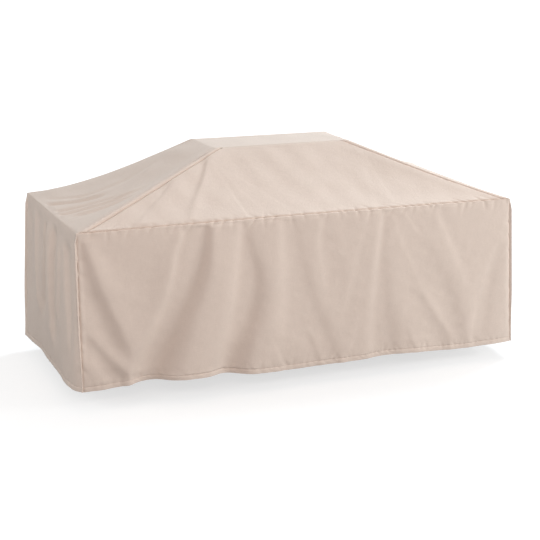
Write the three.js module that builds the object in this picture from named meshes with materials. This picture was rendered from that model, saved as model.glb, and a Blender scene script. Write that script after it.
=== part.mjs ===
// A fitted weather cover for a patio dining table, as it hangs over the table.
//
// The cover is sewn from five pieces of coated polyester, and each is one solid here:
//   centre_strip            one long piece: left end, left slope, ridge, right slope and right end
//   front_roof, back_roof   the two long slopes, sewn to the strip along the hips and the ridge
//   front_skirt, back_skirt the two long sides, sewn on along the eaves and down the corners
// A hem is turned at the foot of every hanging piece and belongs to it.
//
// Millimetres, +Z up. The origin is the underside of the ridge, half way along and across it,
// where the cover bears on what stands on the table. +X runs along the length, +Y to the back.
import * as THREE from "three";

// ---- driving sizes -------------------------------------------------------------------------
const EAVE_LENGTH = 2050; // the cover at the edge of the table top
const EAVE_WIDTH = 936;
const RIDGE_LENGTH = 656; // the flat top of the hipped roof
const RIDGE_WIDTH = 288;
const ROOF_RISE = 265; // eave to ridge
const DROP = 682; // eave to hem
const CLOTH = 2; // the cloth with its coating, at the scale of the model
const SEAM_GAP = 0.3; // between the pieces, where the stitches are
const SAND = 0xd9c8ba;

// How far each corner hangs from its place in the true box, at the ridge, the eave and the hem.
const CORNERS = {
  frontLeft: { side: [-1, -1], ridge: [18, -6, 0], eave: [0, 0, 0], hem: [6, 0, 2] },
  frontRight: { side: [1, -1], ridge: [4, -2, 0], eave: [-5, 2, -2], hem: [24, -8, -2] },
  backLeft: { side: [-1, 1], ridge: [2, -1, 0], eave: [-5, 2, 6], hem: [-42, 7, -4] },
  backRight: { side: [1, 1], ridge: [16, -7, 0], eave: [-26, 16, 16], hem: [14, 12, 0] },
};

// How far the hips and the slopes sag below straight lines. The lowest place is below half way.
const SAG = {
  hips: { frontLeft: 3, frontRight: 9, backLeft: 34, backRight: 20 },
  slopes: { front_roof: 10, back_roof: 12, left_roof: 20, right_roof: 20 },
};
const SAG_LEAN = 0.8;

// ---- hems ----------------------------------------------------------------------------------
// The line of each hem. place is how far along the side a row lies, from its left or front
// corner. out is how far the hem swings out there, and up how far it is drawn up, from a
// straight line between the corners.
const HEMS = {
  front_skirt: [
    { place: 0, out: 0, up: 0 },
    { place: 120, out: 8, up: 5 },
    { place: 280, out: 6, up: 16 },
    { place: 550, out: 10, up: 13 },
    { place: 770, out: 10, up: 1 },
    { place: 900, out: 12, up: -4 },
    { place: 1240, out: 12, up: 1 },
    { place: 1480, out: 10, up: 7 },
    { place: 1720, out: 8, up: -5 },
    { place: 2050, out: 0, up: 0 },
  ],
  back_skirt: [
    { place: 0, out: 0, up: 0 },
    { place: 350, out: 12, up: 6 },
    { place: 900, out: 12, up: -2 },
    { place: 1400, out: 14, up: 9 },
    { place: 1850, out: 10, up: 4 },
    { place: 2050, out: 0, up: 0 },
  ],
  left_end: [
    { place: 0, out: 0, up: 0 },
    { place: 40, out: 22, up: -3 },
    { place: 90, out: 31, up: -2 },
    { place: 170, out: 31, up: 0 },
    { place: 275, out: 21, up: 0 },
    { place: 460, out: 13, up: 2 },
    { place: 695, out: -4, up: 2 },
    { place: 850, out: 2, up: 0 },
    { place: 936, out: 0, up: 0 },
  ],
  right_end: [
    { place: 0, out: 0, up: 0 },
    { place: 90, out: 14, up: 0 },
    { place: 460, out: 16, up: 5 },
    { place: 850, out: 12, up: 0 },
    { place: 936, out: 0, up: 0 },
  ],
};
const SWING_GROWTH = 1.4; // a skirt leaves the upright slowly under the eave, then faster

// ---- folds ---------------------------------------------------------------------------------
// A row for each fold. top, middle and foot say where its line runs, in mm from the left or
// front corner, at the upper edge, half way down and at the lower edge. width and footWidth are
// its half-width at the top and the foot, and rise and footRise its height there: out of the
// cover for a ridge, and negative for a trough.
const FOLDS = {
  front_skirt: [
    { top: 18, middle: 62, foot: 118, width: 30, footWidth: 52, rise: -9, footRise: -10 },
    { top: 230, middle: 245, foot: 204, width: 120, footWidth: 50, rise: 6, footRise: 16 },
    { top: 500, middle: 415, foot: 288, width: 62, footWidth: 52, rise: -9, footRise: -12 },
    { top: 625, middle: 598, foot: 590, width: 66, footWidth: 120, rise: 7, footRise: 12 },
    { top: 737, middle: 716, foot: 640, width: 38, footWidth: 46, rise: -9, footRise: -11 },
    { top: 850, middle: 852, foot: 838, width: 52, footWidth: 84, rise: 6, footRise: 11 },
    { top: 965, middle: 1000, foot: 1094, width: 46, footWidth: 52, rise: -7, footRise: -8 },
    { top: 1050, middle: 1092, foot: 1160, width: 34, footWidth: 44, rise: 7, footRise: 2 },
    { top: 1350, middle: 1326, foot: 1290, width: 48, footWidth: 56, rise: 7, footRise: 11 },
    { top: 1432, middle: 1402, foot: 1376, width: 40, footWidth: 44, rise: -7, footRise: -9 },
    { top: 1560, middle: 1720, foot: 1830, width: 52, footWidth: 70, rise: 5, footRise: 9 },
    { top: 1700, middle: 1850, foot: 1890, width: 50, footWidth: 46, rise: -6, footRise: -9 },
  ],
  back_skirt: [
    { top: 310, middle: 290, foot: 330, width: 70, footWidth: 90, rise: 5, footRise: 12 },
    { top: 620, middle: 570, foot: 550, width: 60, footWidth: 70, rise: -7, footRise: -11 },
    { top: 870, middle: 900, foot: 850, width: 70, footWidth: 100, rise: 6, footRise: 12 },
    { top: 1150, middle: 1120, foot: 1070, width: 60, footWidth: 70, rise: -6, footRise: -10 },
    { top: 1410, middle: 1390, foot: 1350, width: 70, footWidth: 100, rise: 6, footRise: 12 },
    { top: 1630, middle: 1670, foot: 1700, width: 60, footWidth: 70, rise: -7, footRise: -11 },
    { top: 1890, middle: 1860, foot: 1880, width: 60, footWidth: 80, rise: 5, footRise: 12 },
  ],
  left_end: [
    { top: 150, middle: 120, foot: 110, width: 40, footWidth: 60, rise: -6, footRise: -3 },
    { top: 292, middle: 286, foot: 250, width: 40, footWidth: 70, rise: 7, footRise: 4 },
    { top: 382, middle: 372, foot: 340, width: 36, footWidth: 50, rise: -7, footRise: -4 },
    { top: 450, middle: 446, foot: 452, width: 36, footWidth: 70, rise: 7, footRise: 5 },
    { top: 540, middle: 548, foot: 560, width: 36, footWidth: 60, rise: -7, footRise: -4 },
    { top: 720, middle: 680, foot: 660, width: 48, footWidth: 80, rise: 8, footRise: 5 },
    { top: 826, middle: 840, foot: 860, width: 36, footWidth: 40, rise: -7, footRise: -4 },
  ],
  right_end: [
    { top: 170, middle: 190, foot: 180, width: 44, footWidth: 70, rise: 6, footRise: 7 },
    { top: 320, middle: 330, foot: 350, width: 40, footWidth: 56, rise: -7, footRise: -7 },
    { top: 480, middle: 470, foot: 480, width: 44, footWidth: 80, rise: 7, footRise: 8 },
    { top: 640, middle: 630, foot: 610, width: 40, footWidth: 56, rise: -7, footRise: -7 },
    { top: 780, middle: 770, foot: 770, width: 44, footWidth: 70, rise: 6, footRise: 6 },
  ],
  front_roof: [
    { top: 690, middle: 560, foot: 430, width: 26, footWidth: 70, rise: -3, footRise: -5 },
    { top: 760, middle: 720, foot: 700, width: 40, footWidth: 80, rise: 1, footRise: 5 },
    { top: 1330, middle: 1340, foot: 1350, width: 40, footWidth: 70, rise: -2, footRise: -5 },
    { top: 1400, middle: 1480, foot: 1560, width: 34, footWidth: 90, rise: 1, footRise: 5 },
  ],
  back_roof: [
    { top: 750, middle: 650, foot: 550, width: 40, footWidth: 90, rise: -2, footRise: -5 },
    { top: 1290, middle: 1410, foot: 1530, width: 40, footWidth: 90, rise: -2, footRise: -5 },
  ],
  left_roof: [],
  right_roof: [],
};
const QUIET_CORNER = 55; // the folds die out over this much cloth beside a corner seam
const QUIET_EAVE = 90; // and under an eave seam
const QUIET_HIP = 0.25; // and over this share of a slope's width beside a hip

// ---- pieces --------------------------------------------------------------------------------
// A piece is a run of faces that follow each other with no seam, each in so many steps. up says
// that the run climbs the face, and across is the number of steps from edge to edge.
const PIECES = {
  centre_strip: {
    across: 26,
    run: [
      { face: "left_end", steps: 8, up: true },
      { face: "left_roof", steps: 7, up: true },
      { face: "ridge", steps: 2, up: false },
      { face: "right_roof", steps: 7, up: false },
      { face: "right_end", steps: 8, up: false },
    ],
  },
  front_roof: { across: 42, run: [{ face: "front_roof", steps: 7, up: false }] },
  back_roof: { across: 26, run: [{ face: "back_roof", steps: 7, up: false }] },
  front_skirt: { across: 66, run: [{ face: "front_skirt", steps: 8, up: false }] },
  back_skirt: { across: 40, run: [{ face: "back_skirt", steps: 8, up: false }] },
};

// What each face is sewn to, at its top, its foot and its two sides.
const SEWN_TO = {
  front_skirt: { top: "front_roof", first: "left_end", second: "right_end" },
  back_skirt: { top: "back_roof", first: "left_end", second: "right_end" },
  front_roof: { top: "ridge", foot: "front_skirt", first: "left_roof", second: "right_roof" },
  back_roof: { top: "ridge", foot: "back_skirt", first: "left_roof", second: "right_roof" },
  left_end: { first: "front_skirt", second: "back_skirt" },
  left_roof: { first: "front_roof", second: "back_roof" },
  ridge: { first: "front_roof", second: "back_roof" },
  right_roof: { first: "front_roof", second: "back_roof" },
  right_end: { first: "front_skirt", second: "back_skirt" },
};

// ---- small helpers -------------------------------------------------------------------------
const vec = (x, y, z) => new THREE.Vector3(x, y, z);
const mix = THREE.MathUtils.lerp;
const ease = (t) => THREE.MathUtils.smoothstep(t, 0, 1);
const between = (p, q, t) => p.clone().lerp(q, t);

// A curve that is 0 at both ends of 0 to 1, and 1 at its lowest place, nearer to 0.
const sagging = (t) => Math.sin(Math.PI * Math.pow(t, SAG_LEAN));

// The parabola through three values, at t = 0, 1/2 and 1.
function through(top, middle, foot, t) {
  return top * (1 - t) * (1 - 2 * t) + middle * 4 * t * (1 - t) + foot * t * (2 * t - 1);
}

// A smooth line through one column of a table, by its place column.
function lineThrough(rows, column) {
  const places = rows.map((row) => row.place);
  const values = rows.map((row) => row[column]);
  const line = new THREE.CubicInterpolant(places, values, 1);
  return (place) => line.evaluate(place)[0];
}

function foldHeight(folds, place, t) {
  let height = 0;
  for (const fold of folds) {
    const line = through(fold.top, fold.middle, fold.foot, t);
    const off = (place - line) / mix(fold.width, fold.footWidth, t);
    height += mix(fold.rise, fold.footRise, t) * Math.exp(-off * off);
  }
  return height;
}

// ---- the corners of the cover, and the lines between them ----------------------------------
const LEVELS = {
  ridge: { length: RIDGE_LENGTH, width: RIDGE_WIDTH, height: CLOTH },
  eave: { length: EAVE_LENGTH, width: EAVE_WIDTH, height: CLOTH - ROOF_RISE },
  hem: { length: EAVE_LENGTH, width: EAVE_WIDTH, height: CLOTH - ROOF_RISE - DROP },
};

function corner(name, level) {
  const { side, [level]: shift } = CORNERS[name];
  const { length, width, height } = LEVELS[level];
  return vec((side[0] * length) / 2, (side[1] * width) / 2, height).add(vec(...shift));
}

// A hip, from its eave corner up to the ridge.
function hip(name, t) {
  const p = between(corner(name, "eave"), corner(name, "ridge"), t);
  return p.add(vec(0, 0, -SAG.hips[name] * sagging(t)));
}

// A corner seam, from the eave down to the hem.
const upright = (name, t) => between(corner(name, "eave"), corner(name, "hem"), t);

// ---- the faces -----------------------------------------------------------------------------
// OUT holds the outward direction of each face as it would be if it hung flat.
function outward([nameA, levelA], [nameB, levelB], [nameC, levelC]) {
  const a = corner(nameA, levelA);
  const ab = corner(nameB, levelB).sub(a);
  const ac = corner(nameC, levelC).sub(a);
  return ab.cross(ac).normalize();
}

const flatSkirt = (first, second) => outward([first, "hem"], [second, "hem"], [first, "eave"]);
const flatSlope = (first, second) => outward([first, "eave"], [second, "eave"], [first, "ridge"]);
const OUT = {
  front_skirt: flatSkirt("frontLeft", "frontRight"),
  back_skirt: flatSkirt("backRight", "backLeft"),
  left_end: flatSkirt("backLeft", "frontLeft"),
  right_end: flatSkirt("frontRight", "backRight"),
  front_roof: flatSlope("frontLeft", "frontRight"),
  back_roof: flatSlope("backRight", "backLeft"),
  left_roof: flatSlope("backLeft", "frontLeft"),
  right_roof: flatSlope("frontRight", "backRight"),
  ridge: vec(0, 0, 1),
};

// Each face is a function of s, from 0 at its left or front edge to 1 at the other, and of t,
// from 0 at its top to 1 at its foot. It gives a point on the outer side of the cloth.

// A hanging side. It swings out towards its hem, and folds on the way down.
function skirt(name, first, second, length) {
  const hemOut = lineThrough(HEMS[name], "out");
  const hemUp = lineThrough(HEMS[name], "up");
  return (s, t) => {
    const place = s * length;
    const quiet = ease((Math.min(s, 1 - s) * length) / QUIET_CORNER) * ease((t * DROP) / QUIET_EAVE);
    const out = hemOut(place) * Math.pow(t, SWING_GROWTH) + foldHeight(FOLDS[name], place, t) * quiet;
    const p = between(upright(first, t), upright(second, t), s);
    return p.addScaledVector(OUT[name], out).add(vec(0, 0, hemUp(place) * t));
  };
}

// A slope between two hips. It sags between its four edges.
function slope(name, first, second, eaveLength, ridgeLength) {
  const ridgeStart = (eaveLength - ridgeLength) / 2;
  return (s, t) => {
    const place = mix(ridgeStart, 0, t) + s * mix(ridgeLength, eaveLength, t);
    const free = sagging(1 - t) * ease(Math.min(s, 1 - s) / QUIET_HIP);
    const out = (foldHeight(FOLDS[name], place, t) - SAG.slopes[name]) * free;
    return between(hip(first, 1 - t), hip(second, 1 - t), s).addScaledVector(OUT[name], out);
  };
}

// The flat top. Its s runs from front to back as on the ends, and its t from left to right.
function flatTop(s, t) {
  const front = between(corner("frontLeft", "ridge"), corner("frontRight", "ridge"), t);
  const back = between(corner("backLeft", "ridge"), corner("backRight", "ridge"), t);
  return between(front, back, s);
}

const FACES = {
  front_skirt: skirt("front_skirt", "frontLeft", "frontRight", EAVE_LENGTH),
  back_skirt: skirt("back_skirt", "backLeft", "backRight", EAVE_LENGTH),
  left_end: skirt("left_end", "frontLeft", "backLeft", EAVE_WIDTH),
  right_end: skirt("right_end", "frontRight", "backRight", EAVE_WIDTH),
  front_roof: slope("front_roof", "frontLeft", "frontRight", EAVE_LENGTH, RIDGE_LENGTH),
  back_roof: slope("back_roof", "backLeft", "backRight", EAVE_LENGTH, RIDGE_LENGTH),
  left_roof: slope("left_roof", "frontLeft", "backLeft", EAVE_WIDTH, RIDGE_WIDTH),
  right_roof: slope("right_roof", "frontRight", "backRight", EAVE_WIDTH, RIDGE_WIDTH),
  ridge: flatTop,
};

// ---- seams ---------------------------------------------------------------------------------
// The shortest shift that moves a point by the given distance along every listed direction.
function shiftAlong(directions, distance) {
  const shift = vec(0, 0, 0);
  for (let round = 0; round < 60; round++) {
    for (const d of directions) shift.addScaledVector(d, distance - shift.dot(d));
  }
  return shift;
}

// The seams that a point of a face lies on: the face beyond each, and which way the seam runs.
function seamsAt(name, s, t) {
  const face = FACES[name];
  const beyond = SEWN_TO[name];
  const acrossFace = face(1, t).sub(face(0, t)).normalize();
  const downFace = face(s, 1).sub(face(s, 0)).normalize();
  const seams = [
    { here: t === 0, other: beyond.top, along: acrossFace },
    { here: t === 1, other: beyond.foot, along: acrossFace },
    { here: s === 0, other: beyond.first, along: downFace },
    { here: s === 1, other: beyond.second, along: downFace },
  ];
  return seams.filter((seam) => seam.here && seam.other);
}

// The direction into a face, square to the cut between it and the face beyond a seam.
function awayFromCut(name, { other, along }) {
  const inward = shiftAlong([OUT[name], OUT[other]], -1);
  const away = along.clone().cross(inward).normalize();
  return away.dot(OUT[other]) > 0 ? away.negate() : away;
}

// ---- from the faces of a piece to a closed sheet --------------------------------------------
// The grid of a piece. Each point has its place on the outer side, the outward directions of
// the faces that meet there, and the directions away from the cuts that it lies on.
function gridOf({ across, run }) {
  const rows = [];
  run.forEach(({ face, steps, up }, k) => {
    for (let i = k ? 1 : 0; i <= steps; i++) {
      const t = up ? 1 - i / steps : i / steps;
      const bend = i === steps && run[k + 1];
      const row = [];
      for (let j = 0; j <= across; j++) {
        const s = j / across;
        const meeting = new Set(bend ? [face, run[k + 1].face] : [face]);
        const cuts = [];
        for (const name of [...meeting]) {
          const level = name === face ? t : run[k + 1].up ? 1 : 0;
          for (const seam of seamsAt(name, s, level)) {
            meeting.add(seam.other);
            cuts.push(awayFromCut(name, seam));
          }
        }
        row.push({ place: FACES[face](s, t), outs: [...meeting].map((name) => OUT[name]), cuts });
      }
      rows.push(row);
    }
  });
  return rows;
}

// The outward direction of the folded cloth at a point of the grid, from the points around it.
function clothNormal(rows, i, j) {
  const at = (row, column) => rows[row][column].place;
  const down = at(Math.min(i + 1, rows.length - 1), j).clone().sub(at(Math.max(i - 1, 0), j));
  const right = at(i, Math.min(j + 1, rows[0].length - 1)).clone().sub(at(i, Math.max(j - 1, 0)));
  const normal = down.cross(right).normalize();
  return normal.dot(rows[i][j].outs[0]) < 0 ? normal.negate() : normal;
}

function closedSheet(rows) {
  const high = rows.length;
  const wide = rows[0].length;
  const outer = [];
  const inner = [];
  rows.forEach((row, i) =>
    row.forEach(({ place, outs, cuts }, j) => {
      const inward = outs.length > 1
        ? shiftAlong(outs, -CLOTH)
        : clothNormal(rows, i, j).multiplyScalar(-CLOTH);
      const point = place.clone().add(shiftAlong(cuts, SEAM_GAP / 2));
      outer.push(...point.toArray());
      inner.push(...point.add(inward).toArray());
    }),
  );

  const triangles = [];
  const quad = (a, b, c, d) => triangles.push(a, b, c, a, c, d);
  const id = (i, j) => i * wide + j;
  const inside = high * wide;
  for (let i = 0; i + 1 < high; i++) {
    for (let j = 0; j + 1 < wide; j++) {
      const [a, b, c, d] = [id(i, j), id(i + 1, j), id(i + 1, j + 1), id(i, j + 1)];
      quad(a, b, c, d);
      quad(d + inside, c + inside, b + inside, a + inside);
    }
  }
  const rim = [];
  for (let j = 0; j + 1 < wide; j++) rim.push(id(0, j));
  for (let i = 0; i + 1 < high; i++) rim.push(id(i, wide - 1));
  for (let j = wide - 1; j > 0; j--) rim.push(id(high - 1, j));
  for (let i = high - 1; i > 0; i--) rim.push(id(i, 0));
  rim.forEach((a, k) => {
    const b = rim[(k + 1) % rim.length];
    quad(a, b, b + inside, a + inside);
  });

  const facesOut = clothNormal(rows, 1, 1).dot(gridNormal(rows)) > 0;
  const geometry = new THREE.BufferGeometry();
  geometry.setAttribute("position", new THREE.Float32BufferAttribute([...outer, ...inner], 3));
  geometry.setIndex(facesOut ? triangles : triangles.reverse());
  geometry.computeVertexNormals();
  return geometry;
}

// The side that the first cell of the grid turns to us when its corners run down, then right.
function gridNormal(rows) {
  const down = rows[1][0].place.clone().sub(rows[0][0].place);
  const right = rows[0][1].place.clone().sub(rows[0][0].place);
  return down.cross(right);
}

// ---- the cover -----------------------------------------------------------------------------
const cover = new THREE.Group();
for (const [name, piece] of Object.entries(PIECES)) {
  const material = new THREE.MeshStandardMaterial({ color: SAND, roughness: 0.85, metalness: 0 });
  const mesh = new THREE.Mesh(closedSheet(gridOf(piece)), material);
  mesh.name = name;
  cover.add(mesh);
}

export default cover;
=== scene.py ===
# %% [markdown]
# # A fitted cover for a patio table
# This is the cover that keeps rain and leaves off a long outdoor table. It is sewn from coated
# polyester, and it hangs over the table and a block that lifts its middle, so water runs off
# four sloping sides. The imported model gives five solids, one for each piece that is cut from
# the roll. Here each solid gets a finer sheet in its place: the same main sizes, with the folds,
# seams, hem, stitches and weave of the real cloth.

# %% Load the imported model
import math

import bpy
import numpy as np
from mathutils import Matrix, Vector


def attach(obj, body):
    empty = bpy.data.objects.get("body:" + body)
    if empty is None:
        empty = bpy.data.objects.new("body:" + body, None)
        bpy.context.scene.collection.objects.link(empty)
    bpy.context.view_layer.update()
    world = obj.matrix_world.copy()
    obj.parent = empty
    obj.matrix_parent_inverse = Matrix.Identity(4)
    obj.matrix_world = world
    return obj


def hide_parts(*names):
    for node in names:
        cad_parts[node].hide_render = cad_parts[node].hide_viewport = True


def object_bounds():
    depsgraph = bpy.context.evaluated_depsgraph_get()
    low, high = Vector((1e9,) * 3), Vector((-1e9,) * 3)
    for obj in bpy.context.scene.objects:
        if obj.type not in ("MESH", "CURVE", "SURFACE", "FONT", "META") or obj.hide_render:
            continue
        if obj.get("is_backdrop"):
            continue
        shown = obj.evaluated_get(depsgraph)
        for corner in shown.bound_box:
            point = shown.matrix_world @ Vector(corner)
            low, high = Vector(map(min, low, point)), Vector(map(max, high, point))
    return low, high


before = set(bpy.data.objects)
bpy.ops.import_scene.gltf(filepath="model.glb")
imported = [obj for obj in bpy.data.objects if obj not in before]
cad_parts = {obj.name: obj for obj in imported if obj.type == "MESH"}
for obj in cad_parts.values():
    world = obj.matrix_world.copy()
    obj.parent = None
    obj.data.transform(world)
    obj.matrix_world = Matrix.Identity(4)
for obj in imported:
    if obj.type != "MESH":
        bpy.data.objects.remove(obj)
cad_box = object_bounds()
print("solids:", ", ".join(sorted(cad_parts)))
print("box of the solids:", [[round(float(v), 4) for v in end] for end in cad_box])

# %% [markdown]
# ## The camera
# A camera is made before anything else, so that every look at the work is from one place. It
# stands a little above the cover's own height, to the left of its middle, six metres away, and
# has a long lens. A long lens keeps the two ends of a two-metre piece nearly the same size,
# where a wide lens close by would blow up the near corner.

# %% Camera
camera_data = bpy.data.cameras.new("camera")
camera_data.sensor_width = 36
camera_data.lens = 90.9
camera = bpy.data.objects.new("camera", camera_data)
camera.location = (-2.3011, -5.7784, 0.9327)
camera.rotation_euler = (math.radians(76.01), 0, math.radians(-21.80))
bpy.context.scene.collection.objects.link(camera)
bpy.context.scene.camera = camera
print("camera:", tuple(round(v, 3) for v in camera.location), "lens", camera_data.lens)

# %% [markdown]
# ## Soft light
# Pale cloth shows its folds by small differences of light, so the light must be soft, but
# not the same from all sides. Four square lamps do it. One stands low in front on the right,
# so every fold has a light side and a dark side. A second one in front, on the left, draws the
# folds of the left end. One at the left lights that end, and a high one behind on the right
# lights the ridge and the slopes. The world fills the shadows. A plain light level matters
# more than drama: at this level a colour comes out about as it is written. The camera, and
# anything glossy, sees the world as white.

# %% Lamps and world
COVER_MIDDLE = Vector((0, 0, -0.3))


def soft_lamp(name, direction, power, colour):
    """A square lamp, six metres from the cover in that direction, and turned to it."""
    data = bpy.data.lights.new(name, "AREA")
    data.shape = "SQUARE"
    data.size = 2.4
    data.energy = power
    data.color = colour
    lamp = bpy.data.objects.new(name, data)
    towards = Vector(direction).normalized()
    lamp.location = COVER_MIDDLE + towards * 6
    lamp.rotation_euler = towards.to_track_quat("Z", "Y").to_euler()
    bpy.context.scene.collection.objects.link(lamp)
    return lamp


soft_lamp("right_front_lamp", (1.0, -0.6, 0.25), 195, (0.98, 1.01, 1.01))
soft_lamp("left_front_lamp", (-0.35, -1.0, 0.4), 101, (1.09, 0.97, 0.92))
soft_lamp("left_lamp", (-0.95, 0.05, 0.34), 84, (0.97, 1.0, 1.01))
soft_lamp("high_lamp", (0.58, 0.34, 0.74), 264, (0.9, 1.01, 1.08))


def add_node(tree, kind, inputs=None, **settings):
    """A new node. Its inputs take plain values, or the outputs of other nodes."""
    made = tree.nodes.new(kind)
    for key, value in settings.items():
        setattr(made, key, value)
    for socket, value in (inputs or {}).items():
        if isinstance(value, bpy.types.NodeSocket):
            tree.links.new(value, made.inputs[socket])
        else:
            made.inputs[socket].default_value = value
    return made


def sees_white(tree):
    """1 for the rays that should see the white room: the camera's, and those off gloss or glass."""
    rays = add_node(tree, "ShaderNodeLightPath").outputs
    total = rays["Is Camera Ray"]
    for name in ("Is Glossy Ray", "Is Transmission Ray"):
        total = add_node(tree, "ShaderNodeMath", {0: total, 1: rays[name]}, operation="MAXIMUM").outputs[0]
    return total


world = bpy.data.worlds.new("white_room")
bpy.context.scene.world = world
world.use_nodes = True
sky = world.node_tree
fill_light = sky.nodes["Background"]
fill_light.inputs["Color"].default_value = (1, 1, 1, 1)
fill_light.inputs["Strength"].default_value = 0.28
white_room = add_node(sky, "ShaderNodeBackground", {"Color": (1, 1, 1, 1), "Strength": 1.0})
choose = add_node(sky, "ShaderNodeMixShader",
                  {0: sees_white(sky), 1: fill_light.outputs[0], 2: white_room.outputs[0]})
sky.links.new(choose.outputs[0], sky.nodes["World Output"].inputs["Surface"])
bpy.context.scene.view_settings.view_transform = "Standard"

# %% [markdown]
# ## The floor
# A plain pale floor carries the cover's shadow and throws soft light up under it, as a studio
# sheet does. The hem hangs 78 mm above the floor, because the table legs are longer than the
# cover. A diffuse floor alone would come out light grey, so the camera also sees a
# little glow in it, which brings the lit part up to white and leaves the shadow. The glow
# grows away from the cover, where the lamps no longer reach.

# %% Floor
FLOOR_HEIGHT = -1.0229
bpy.ops.object.select_all(action="DESELECT")
bpy.ops.mesh.primitive_plane_add(size=80, location=(0, 0, FLOOR_HEIGHT))
floor = bpy.context.object
floor.name = "studio_floor"
bpy.ops.object.transform_apply(location=True, rotation=False, scale=False)
floor_paint = bpy.data.materials.new("pale_floor")
floor_paint.use_nodes = True
tree = floor_paint.node_tree
tree.nodes.clear()
paint = add_node(tree, "ShaderNodeBsdfDiffuse", {"Color": (0.4, 0.4, 0.4, 1)})
floor_place = add_node(tree, "ShaderNodeTexCoord")
from_cover = add_node(tree, "ShaderNodeVectorMath", {0: floor_place.outputs["Object"]}, operation="LENGTH")
growing = add_node(tree, "ShaderNodeMapRange", {"Value": from_cover.outputs["Value"], "From Min": 1.2,
                                                "From Max": 4.0, "To Min": 0.66, "To Max": 1.0})
glow = add_node(tree, "ShaderNodeEmission", {"Strength": growing.outputs["Result"]})
both = add_node(tree, "ShaderNodeAddShader", {0: paint.outputs[0], 1: glow.outputs[0]})
choose = add_node(tree, "ShaderNodeMixShader",
                  {0: sees_white(tree), 1: paint.outputs[0], 2: both.outputs[0]})
add_node(tree, "ShaderNodeOutputMaterial", {"Surface": choose.outputs[0]})
floor.data.materials.append(floor_paint)
floor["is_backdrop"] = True
print("floor at", FLOOR_HEIGHT)

# %% [markdown]
# ## The main sizes
# The cover has three levels: the small flat ridge on top, the eave where the slopes meet the
# hanging sides, and the hem. A box at each level has four corners. A cover that has been thrown
# over a table never hangs true, so each corner is a little off its place. These repeat the
# main sizes of the solids, in metres.

# %% Levels and corners
MM = 0.001
EAVE_LENGTH, EAVE_WIDTH = 2.050, 0.936
RIDGE_LENGTH, RIDGE_WIDTH = 0.656, 0.288
ROOF_RISE, DROP, CLOTH = 0.265, 0.682, 0.002
LEVELS = {
    "ridge": (RIDGE_LENGTH, RIDGE_WIDTH, CLOTH),
    "eave": (EAVE_LENGTH, EAVE_WIDTH, CLOTH - ROOF_RISE),
    "hem": (EAVE_LENGTH, EAVE_WIDTH, CLOTH - ROOF_RISE - DROP),
}
# side, then how far the corner hangs from its place at each level, in mm
CORNERS = {
    "front_left": {"side": (-1, -1), "ridge": (18, -6, 0), "eave": (0, 0, 0), "hem": (6, 0, 2)},
    "front_right": {"side": (1, -1), "ridge": (4, -2, 0), "eave": (-11, 2, -2), "hem": (17, -8, -2)},
    "back_left": {"side": (-1, 1), "ridge": (2, -1, 0), "eave": (-1, 2, 6), "hem": (-36, 7, -4)},
    "back_right": {"side": (1, 1), "ridge": (16, -7, 0), "eave": (-24, 16, 21), "hem": (10, 12, 0)},
}


def corner(name, level):
    length, width, height = LEVELS[level]
    side = CORNERS[name]["side"]
    place = np.array([side[0] * length / 2, side[1] * width / 2, height])
    return place + np.array(CORNERS[name][level]) * MM


for name in CORNERS:
    print(name, *(np.round(corner(name, level), 3) for level in LEVELS))

# %% [markdown]
# ## Hips, uprights and hems
# The pieces meet along lines: four hips climb from the eave corners to the ridge, and four
# corner seams hang from the eave to the hem. The hips sag a little, since cloth can't be pulled
# dead straight, and the back left one sags most. Each hem has its own line, read at a
# few places and joined by a smooth curve. Smooth curves through a few chosen points are
# used everywhere in this lesson, because they are easy to change by hand.

# %% Smooth lines, hips and corner seams
def mix(a, b, t):
    return a + (b - a) * t


def ease(t):
    """0 up to t = 0, 1 from t = 1, and smooth between."""
    t = np.clip(t, 0, 1)
    return t * t * (3 - 2 * t)


def smooth_line(x, knots, values):
    """A smooth curve through values at knots, read at x. It stays level beyond its ends."""
    knots, values = np.asarray(knots, float), np.asarray(values, float)
    slopes = np.gradient(values, knots)
    k = np.clip(np.searchsorted(knots, x) - 1, 0, len(knots) - 2)
    span = knots[k + 1] - knots[k]
    f = np.clip((x - knots[k]) / span, 0, 1)
    start = (1 + 2 * f) * (1 - f) ** 2 * values[k] + f * (1 - f) ** 2 * span * slopes[k]
    return start + f * f * (3 - 2 * f) * values[k + 1] + f * f * (f - 1) * span * slopes[k + 1]


HIP_SAG = {"front_left": 3, "front_right": 9, "back_left": 34, "back_right": 20}


def sagging(t):
    return np.sin(np.pi * np.clip(t, 0, 1) ** 0.8)


def between(p, q, t):
    t = np.asarray(t, float)[..., None]
    return p + (q - p) * t


def hip(name, t):
    """A point of a hip, from its eave corner at t = 0 to the ridge at t = 1."""
    line = between(corner(name, "eave"), corner(name, "ridge"), t)
    line[..., 2] -= HIP_SAG[name] * MM * sagging(t)
    return line


def upright(name, t):
    return between(corner(name, "eave"), corner(name, "hem"), t)


HEMS = {  # place along the side, how far out and how far up the hem is drawn there, in mm
    "front_skirt": [(0, 0, 0), (120, 8, 5), (280, 6, 16), (550, 10, 13), (770, 10, 1),
                    (900, 12, -4), (1240, 12, 1), (1480, 10, 7), (1720, 8, -5), (2050, 0, 0)],
    "back_skirt": [(0, 0, 0), (350, 12, 6), (900, 12, -2), (1400, 14, 9), (1850, 10, 4),
                   (2050, 0, 0)],
    "left_end": [(0, 0, 0), (40, 22, -3), (90, 31, -2), (170, 31, 0), (275, 21, 0),
                 (460, 13, 2), (695, -4, 2), (850, 2, 0), (936, 0, 0)],
    "right_end": [(0, 0, 0), (90, 14, 0), (460, 16, 5), (850, 12, 0), (936, 0, 0)],
}
print("front left hip:", round(float(np.linalg.norm(hip("front_left", 1) - hip("front_left", 0))), 3), "m")

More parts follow.
